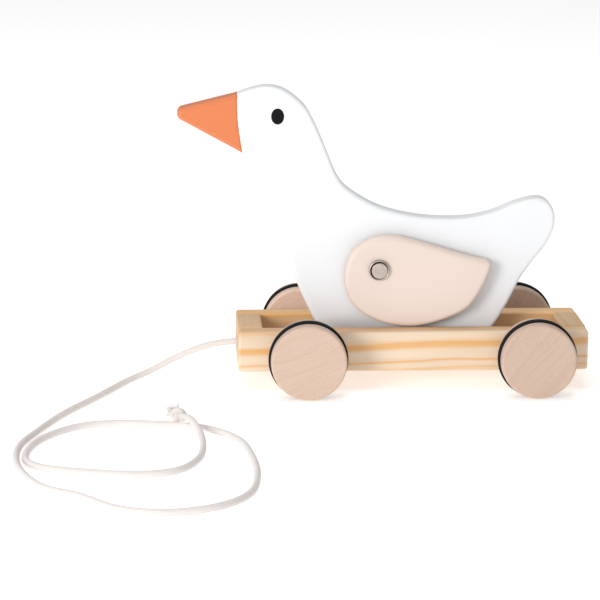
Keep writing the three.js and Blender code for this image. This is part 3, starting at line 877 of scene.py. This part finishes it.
class GOOSE_OT_cord(bpy.types.Operator):
    """Lays the braided pull cord and ties its stop knot and its frayed end knot"""

    bl_idname = "goose.cord"
    bl_label = "Pull cord"

    def execute(self, context):
        sizes = context.scene.goose_sizes
        radius, strands = sizes.cord_diameter / MM / 2, sizes.braid_strands
        cotton = cotton_finish()
        rows, sides = 2500, 32
        path, run = evenly(centripetal(CORD_ROUTE, 40), rows)
        side, up = level_frame(path)
        lap = braided_radius(run, sides, radius, strands, BRAID_PITCH)
        points, faces = grid_solid(carried_tube(path, lap, side, up, sides))
        cord = make_piece("braided_cord", points, faces, cotton, sharp=60)
        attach(cord, "chassis")
        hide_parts("pull_cord")

        end, heading, across, upward = end_frame(path)
        middle = end + heading * 4.6 - upward * 0.35
        tail = end + heading * 8.6
        end_solids = [
            (stub_points(end + heading * 0.02, middle, radius, strands, run[-1]), False),
            (knot_points(middle, heading, across, upward, KNOT["end_cord"], strands), True),
            (stub_points(middle, tail, radius * 0.92, strands, run[-1] + 4), False),
        ]
        fibres = fibre_points(tail - heading * 0.6, heading, across, upward, sizes.frayed_fibres, 11)
        end_solids += [(fibre, False) for fibre in fibres]
        end_knot = joined("frayed_end_knot", end_solids, cotton)
        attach(end_knot, "chassis")
        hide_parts("cord_end_knot")

        low, high = node_box("cord_stop_knot")
        centre = (low + high) / 2
        along = np.array([1.0, 0.0, 0.0])
        level, upright = np.array([0.0, 1.0, 0.0]), np.array([0.0, 0.0, 1.0])
        stop_tail = centre + along * 7.2
        stop_solids = [
            (stub_points(np.array(CORD_ROUTE[0]) + along * 0.02, centre, radius, strands), False),
            (knot_points(centre, along, level, upright, KNOT["stop_cord"], strands), True),
            (stub_points(centre, stop_tail, radius * 0.92, strands), False),
        ]
        ends = fibre_points(stop_tail - along * 0.5, along, level, upright,
                            sizes.frayed_fibres // 3, 5, (1.5, 3.0))
        stop_knot = joined("stop_knot", stop_solids + [(fibre, False) for fibre in ends], cotton)
        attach(stop_knot, "chassis")
        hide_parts("cord_stop_knot")

        return {"FINISHED"}


class GOOSE_OT_rails(bpy.types.Operator):
    """Planes the two pine rails and bores them for the axles"""

    bl_idname = "goose.rails"
    bl_label = "Rails"

    def execute(self, context):
        outline = rounded_loop(FRONT, REAR, BOTTOM, TOP, CORNER["rail"])
        near_pith, far_pith = PITH["near_rail"], PITH["far_rail"]
        bands = face_bands(near_pith, -HALF_WIDTH, NEAR_RAIL_BANDS)
        corners = [(y, z) for y in (SLOT_HALF, HALF_WIDTH) for z in (BOTTOM, TOP)]
        woods = {
            "near": pine("pine_near_rail", near_pith, bands, drift=0.022, seed=3.0),
            # painted shade: the far rail's pale wood is darker and more orange (least 0.65) for the slot's
            # warm shade; its rings are real grain
            "far": pine("pine_far_rail", far_pith, ring_bands(far_pith, corners, 7, 0.65), 0.012, 11.0),
        }
        for side, sign in SIDES.items():
            low, high = sorted((sign * SLOT_HALF, sign * HALF_WIDTH))
            rail = board_piece(f"{side}_rail", outline, low, high, ROUNDING["rail"], woods[side],
                               spacing=0.5)
            middle = (low + high) / 2
            bored(rail, [("Y", (x, middle, AXLE_Z), AXLE["bore"], 30) for x in AXLE_X.values()])
            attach(rail, "chassis")
            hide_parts(f"rail_{side}")
        return {"FINISHED"}


class GOOSE_OT_blocks(bpy.types.Operator):
    """Cuts the two end blocks and the floor board between the rails"""

    bl_idname = "goose.blocks"
    bl_label = "Blocks and floor board"

    def execute(self, context):
        half = node_box("front_block")[1][1]
        for number, end in enumerate(("front", "rear")):
            low, high = node_box(f"{end}_block")
            pith = PITH[f"{end}_block"]
            corners = [(y, z) for y in (-half, half) for z in (BOTTOM, TOP)]
            wood = pine(f"pine_{end}_block", pith, ring_bands(pith, corners, 20 + number, 0.4),
                        0.05, 17.0 + 6 * number, tone=0.93, turn=(0, 0, 90))
            outline = rounded_loop(low[0], high[0], low[2], high[2], CORNER["block"])
            block = board_piece(f"{end}_end_block", outline, -half, half, ROUNDING["block"], wood,
                                spacing=0.4, steps=4)
            if end == "front":
                bored(block, [("X", ((low[0] + high[0]) / 2, 0, CORD_ROUTE[0][2]), CORD_HOLE, 30)])
            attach(block, "chassis")
            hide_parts(f"{end}_block")
        low, high = node_box("floor_board")
        pith = PITH["floor"]
        corners = [(y, z) for y in (low[1], high[1]) for z in (low[2], high[2])]
        wood = pine("pine_floor_board", pith, ring_bands(pith, corners, 31), 0.01, 41.0, tone=0.95)
        outline = rounded_loop(low[0], high[0], low[2], high[2], CORNER["floor"])
        floor_board = board_piece("slot_floor_board", outline, low[1], high[1], ROUNDING["floor"], wood,
                                  spacing=0.5, steps=4, flat=0.1)
        sinks = [("Z", (x, 0, low[2]), SCREW["sink"], 5.2) for x in SCREW_X]
        holes = [("Z", (x, 0, high[2]), SCREW["clearance"], 14) for x in SCREW_X]
        bored(floor_board, sinks + holes)
        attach(floor_board, "chassis")
        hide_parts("floor_board")
        return {"FINISHED"}


def screw_points(x, start, top, sides=72):
    """A wood screw, turned round an upright line. A cross of two slots sinks into its head, and on its
    shank the radius grows by the cube of a cosine that winds up with the height, which is the thread."""
    head = [(r, start) for r in np.linspace(0, SCREW["head"], 22)] + [(SCREW["head"] + 0.2, start + 0.15)]
    neck = [(SCREW["neck"], start + 2.2)]
    shank = [(SCREW["core"], z) for z in np.linspace(start + 2.6, top - 3, 150)]
    profile = np.array(head + neck + shank + [(0.6, top - 1.2), (0, top)])
    radius, height = profile[:, :1], np.broadcast_to(profile[:, 1:], (len(profile), sides))
    angle = np.linspace(0, 2 * np.pi, sides, endpoint=False)[None, :]
    arm = np.minimum(np.abs(radius * np.cos(angle)), np.abs(radius * np.sin(angle)))
    deep = np.clip((0.55 - arm) / 0.2, 0, 1) * np.clip((2.1 - radius) / 0.4, 0, 1)
    row = np.arange(len(profile))[:, None]
    height = height + np.where(row < len(head), deep * (1.5 - 0.3 * radius), 0)
    wind = np.clip(np.cos(angle - 2 * np.pi * height / SCREW["pitch"]), 0, 1) ** 3
    in_shank = (row > len(head)) & (height < top - 2.9)
    reach = radius + np.where(in_shank, wind * SCREW["thread"], 0)
    return np.stack([x + reach * np.cos(angle), reach * np.sin(angle), height], axis=-1)


class GOOSE_OT_screws(bpy.types.Operator):
    """Drives the two countersunk screws up into the goose's foot"""

    bl_idname = "goose.screws"
    bl_label = "Foot screws"

    def execute(self, context):
        for end in ("front", "rear"):
            low, high = node_box(f"foot_screw_{end}")
            x, start, top = (low[0] + high[0]) / 2, low[2], high[2]
            steel = steel_finish(f"steel_{end}_screw", (x, 0, 0), 0.28, 0.5)
            grid = screw_points(x, start, top)
            screw = make_piece(f"{end}_foot_screw", grid.reshape(-1, 3), grid_faces(*grid.shape[:2]), steel)
            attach(screw, "chassis")
            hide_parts(f"foot_screw_{end}")
        return {"FINISHED"}


def wheel_profile(inner, outer, edge):
    """Half section of a wheel: blind bore, rounded rims and a square groove for the tyre."""
    radius, groove, groove_half = WHEEL["radius"], WHEEL["groove"], WHEEL["groove_half"]
    bore, bore_end = AXLE["bore"], inner + WHEEL["bore_depth"]
    middle = (inner + outer) / 2
    soft = 0.35
    return (
        [(0, bore_end), (bore, bore_end), (bore, inner + 0.5), (bore + 0.5, inner)]
        + [(r, inner) for r in np.linspace(bore + 2, radius - edge - 0.4, 4)]
        + arc(radius - edge, inner + edge, edge, -90, 0, 8)
        + arc(radius - soft, middle - groove_half - soft, soft, 0, 90, 4)
        + [(groove, middle - groove_half), (groove, middle + groove_half)]
        + arc(radius - soft, middle + groove_half + soft, soft, -90, 0, 4)
        + arc(radius - edge, outer - edge, edge, 0, 90, 8)
        + [(r, outer) for r in np.linspace(radius - edge - 0.4, 0, 6)]
    )


class GOOSE_OT_wheels(bpy.types.Operator):
    """Turns the four beech wheels, each with a groove for its tyre"""

    bl_idname = "goose.wheels"
    bl_label = "Wheels"

    def execute(self, context):
        edge = context.scene.goose_sizes.wheel_edge / MM
        for number, ((end, side), (turn, tone, marks)) in enumerate(WHEEL_GRAIN_AND_PAINTED_LIGHT.items()):
            low, high = node_box(f"wheel_{end}_{side}")
            inner, outer = sorted((abs(low[1]), abs(high[1])))
            centre = (AXLE_X[end], 0, AXLE_Z)
            # the far wheels' tones carry painted light: darker on the rear far wheel for shade, lighter on
            # the front
            wood = beech(f"beech_{end}_{side}_wheel", centre, (0, turn, 0), 5.0 * number, tone, marks)
            profile = [(r, SIDES[side] * y) for r, y in wheel_profile(inner, outer, edge)]
            wheel = turned_piece(f"{end}_{side}_wheel", profile, centre, wood, sides=128)
            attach(wheel, f"{end}_wheelset")
            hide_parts(f"wheel_{end}_{side}")
        return {"FINISHED"}


class GOOSE_OT_tyres(bpy.types.Operator):
    """Moulds the four rubber tyres"""

    bl_idname = "goose.tyres"
    bl_label = "Tyres"

    def execute(self, context):
        rubber = rubber_finish()
        outer, inner, shoulder, lip = TYRE.values()
        for end in AXLE_X:
            for side in SIDES:
                low, high = node_box(f"tyre_{end}_{side}")
                middle, half = (low[1] + high[1]) / 2, (high[1] - low[1]) / 2
                profile = (
                    [(inner, middle - half + lip), (inner + lip, middle - half)]
                    + arc(outer - shoulder, middle - half + shoulder, shoulder, -90, 0, 8)
                    + arc(outer - shoulder, middle + half - shoulder, shoulder, 0, 90, 8)
                    + [(inner + lip, middle + half), (inner, middle + half - lip)]
                )
                tyre = turned_piece(f"{end}_{side}_tyre", profile, (AXLE_X[end], 0, AXLE_Z), rubber,
                                    sides=160, closed=True)
                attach(tyre, f"{end}_wheelset")
                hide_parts(f"tyre_{end}_{side}")
        return {"FINISHED"}


class GOOSE_OT_axles(bpy.types.Operator):
    """Turns the two beech axles and the four spacer rings on them"""

    bl_idname = "goose.axles"
    bl_label = "Axles and spacers"

    def execute(self, context):
        for number, end in enumerate(AXLE_X):
            low, high = node_box(f"{end}_axle")
            centre = (AXLE_X[end], 0, AXLE_Z)
            wood = beech(f"beech_{end}_axle", centre, (0, 0, 90), 40.0 + 7 * number, 0.95, 0.1)
            r, chamfer, bore = AXLE["radius"], AXLE["chamfer"], AXLE["bore"]
            profile = ([(0, low[1]), (r - chamfer, low[1]), (r, low[1] + chamfer)]
                       + [(r, y) for y in np.linspace(low[1] + 2, high[1] - 2, 12)]
                       + [(r, high[1] - chamfer), (r - chamfer, high[1]), (0, high[1])])
            axle = turned_piece(f"{end}_beech_axle", profile, centre, wood, sides=64)
            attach(axle, f"{end}_wheelset")
            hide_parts(f"{end}_axle")
            for side in SIDES:
                low, high = node_box(f"spacer_{end}_{side}")
                a, b, r = low[1], high[1], (high[0] - low[0]) / 2
                ring = ring_profile(a, b, bore, r, 0.4, 0.7, 5)
                spacer = turned_piece(f"{end}_{side}_spacer", ring, centre, wood, sides=80, closed=True)
                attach(spacer, f"{end}_wheelset")
                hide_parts(f"spacer_{end}_{side}")
        return {"FINISHED"}


class GOOSE_OT_body(bpy.types.Operator):
    """Cuts the goose board, paints it and gives it its eyes"""

    bl_idname = "goose.body"
    bl_label = "Goose board"

    def execute(self, context):
        scene = context.scene
        low, high = node_box("goose_body")
        edge = scene.goose_sizes.body_edge / MM
        paint = painted("goose_paint", scene.goose_colours.white, scene.goose_colours.beak, 2.0)
        body = board_piece("goose_board", goose_loop(), low[1], high[1], edge, paint, steps=9)
        bored(body, [("Y", (PIVOT_X, 0, PIVOT_Z), PIN["bore"], 40)]
              + [("Z", (x, 0, FOOT_BOTTOM), 2.05, 40) for x in SCREW_X])
        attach(body, "chassis")
        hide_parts("goose_body")

        black = eye_finish()
        rows, cols = 7, 64
        turn = np.linspace(0, 2 * np.pi, cols, endpoint=False)[None, :]
        reach = np.sin(np.linspace(0, np.pi / 2, rows))[:, None]
        rise = EYE["proud"] * (1 - reach ** 4)
        for side, sign in SIDES.items():
            face = abs(low[1])
            front = np.stack([EYE["x"] + EYE["half_width"] * reach * np.cos(turn),
                              sign * (face + rise) * np.ones_like(turn),
                              EYE["z"] + EYE["half_height"] * reach * np.sin(turn)], axis=-1)
            back = front[-1:] * 1.0
            back[..., 1] = sign * (face - 0.15)
            points = np.vstack([front, back])
            faces = grid_faces(rows + 1, cols) + [[rows * cols + i for i in range(cols)]]
            eye = make_piece(f"{side}_eye", points.reshape(-1, 3), faces, black, sharp=80)
            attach(eye, "chassis")
        return {"FINISHED"}


class GOOSE_OT_wings(bpy.types.Operator):
    """Cuts and paints the two wings"""

    bl_idname = "goose.wings"
    bl_label = "Wings"

    def execute(self, context):
        scene = context.scene
        paint = painted("wing_paint", scene.goose_colours.peach, seed=30.0)
        edge = scene.goose_sizes.wing_edge / MM
        for side in SIDES:
            low, high = node_box(f"wing_{side}")
            wing = board_piece(f"{side}_wing", wing_loop(), low[1], high[1], edge, paint,
                               steps=9, spacing=0.7)
            bored(wing, [("Y", (PIVOT_X, (low[1] + high[1]) / 2, PIVOT_Z), PIN["bore"], 30)])
            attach(wing, f"{side}_wing")
            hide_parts(f"wing_{side}")
        return {"FINISHED"}


def cap_profiles(base, top, r):
    """Half sections of a pin cap: its cup with a half-round rim and a groove inside it, and its face."""
    bore = PIN["bore"]
    rim = ([(0, base + 0.3), (bore, base + 0.3), (bore, base), (r - 0.2, base), (r, base + 0.2)]
           + arc(r - 0.4, top - 0.4, 0.4, 0, 180, 11)
           + [(r - 0.8, top - 0.85), (r - 0.8, top - 1.4), (r - 1.0, top - 1.6)])
    face = ([(r - 1.35, top - 1.6), (r - 1.35, top - 1.4)] + arc(r - 1.6, top - 0.75, 0.25, 0, 90, 5)
            + [(x, top - 0.5) for x in np.linspace(r - 2.1, 0, 12)])
    return rim, face


class GOOSE_OT_pivot(bpy.types.Operator):
    """Makes the wings' steel pin with its two caps, and the nylon washers"""

    bl_idname = "goose.pivot"
    bl_label = "Wing pin, caps and washers"

    def execute(self, context):
        centre = (PIVOT_X, 0, PIVOT_Z)
        steel = steel_finish("satin_steel", centre)
        cap_top = node_box("pin_cap_far")[1][1]
        # the caps' steel is painted near black in its groove, as painted shade
        cap_steel = steel_finish("cap_steel", centre, groove=(cap_top - 1.5, cap_top - 1.1))
        nylon = nylon_finish()
        low, high = node_box("wing_pin")
        r, chamfer = PIN["radius"], PIN["chamfer"]
        profile = [(0, low[1]), (r - chamfer, low[1]), (r, low[1] + chamfer),
                   (r, high[1] - chamfer), (r - chamfer, high[1]), (0, high[1])]
        pin = turned_piece("steel_wing_pin", profile, centre, steel, sides=64)
        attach(pin, "chassis")
        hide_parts("wing_pin")
        for side, sign in SIDES.items():
            low, high = node_box(f"pin_cap_{side}")
            base, top = sorted((abs(low[1]), abs(high[1])))
            r = (high[0] - low[0]) / 2
            rim, face = cap_profiles(base, top, r)
            points = turned_points([(x, sign * y) for x, y in rim + face], 96, centre)
            points[len(rim):] += FACE_SHIFT
            cap = make_piece(f"{side}_pin_cap", points.reshape(-1, 3),
                             grid_faces(len(rim) + len(face), 96), cap_steel)
            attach(cap, "chassis")
            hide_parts(f"pin_cap_{side}")
            low, high = node_box(f"wing_washer_{side}")
            a, b, r = low[1], high[1], (high[0] - low[0]) / 2
            ring = ring_profile(a, b, PIN["bore"], r, 0.15, 0.3, 4)
            washer = turned_piece(f"{side}_nylon_washer", ring, centre, nylon, sides=72, closed=True)
            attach(washer, "chassis")
            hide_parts(f"wing_washer_{side}")
        return {"FINISHED"}


OPERATORS = (
    GOOSE_OT_stage, GOOSE_OT_cord, GOOSE_OT_rails, GOOSE_OT_blocks, GOOSE_OT_screws, GOOSE_OT_wheels,
    GOOSE_OT_tyres, GOOSE_OT_axles, GOOSE_OT_body, GOOSE_OT_wings, GOOSE_OT_pivot,
)


class GOOSE_PT_panel(bpy.types.Panel):
    """Lists the goose's sizes, colours and pieces in the 3D view's sidebar"""

    bl_idname = "GOOSE_PT_panel"
    bl_label = "Pull-along goose"
    bl_space_type = "VIEW_3D"
    bl_region_type = "UI"
    bl_category = "Goose"

    def draw(self, context):
        for group in (context.scene.goose_sizes, context.scene.goose_colours):
            column = self.layout.column()
            for key in group.bl_rna.properties.keys():
                if key not in ("rna_type", "name"):
                    column.prop(group, key)
        column = self.layout.column()
        for operator in OPERATORS:
            column.operator(operator.bl_idname)


CLASSES = (GooseSizes, GooseColours, *OPERATORS, GOOSE_PT_panel)


def register():
    """Adds the classes, and the sizes and colours that a scene holds."""
    for cls in CLASSES:
        bpy.utils.register_class(cls)
    bpy.types.Scene.goose_sizes = PointerProperty(type=GooseSizes)
    bpy.types.Scene.goose_colours = PointerProperty(type=GooseColours)


def unregister():
    """Takes them away again."""
    del bpy.types.Scene.goose_colours
    del bpy.types.Scene.goose_sizes
    for cls in reversed(CLASSES):
        bpy.utils.unregister_class(cls)


def main():
    """Registers the add-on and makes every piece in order."""
    register()
    for operator in OPERATORS:
        group, call = operator.bl_idname.split(".")
        getattr(getattr(bpy.ops, group), call)()


if __name__ == "__main__":
    main()
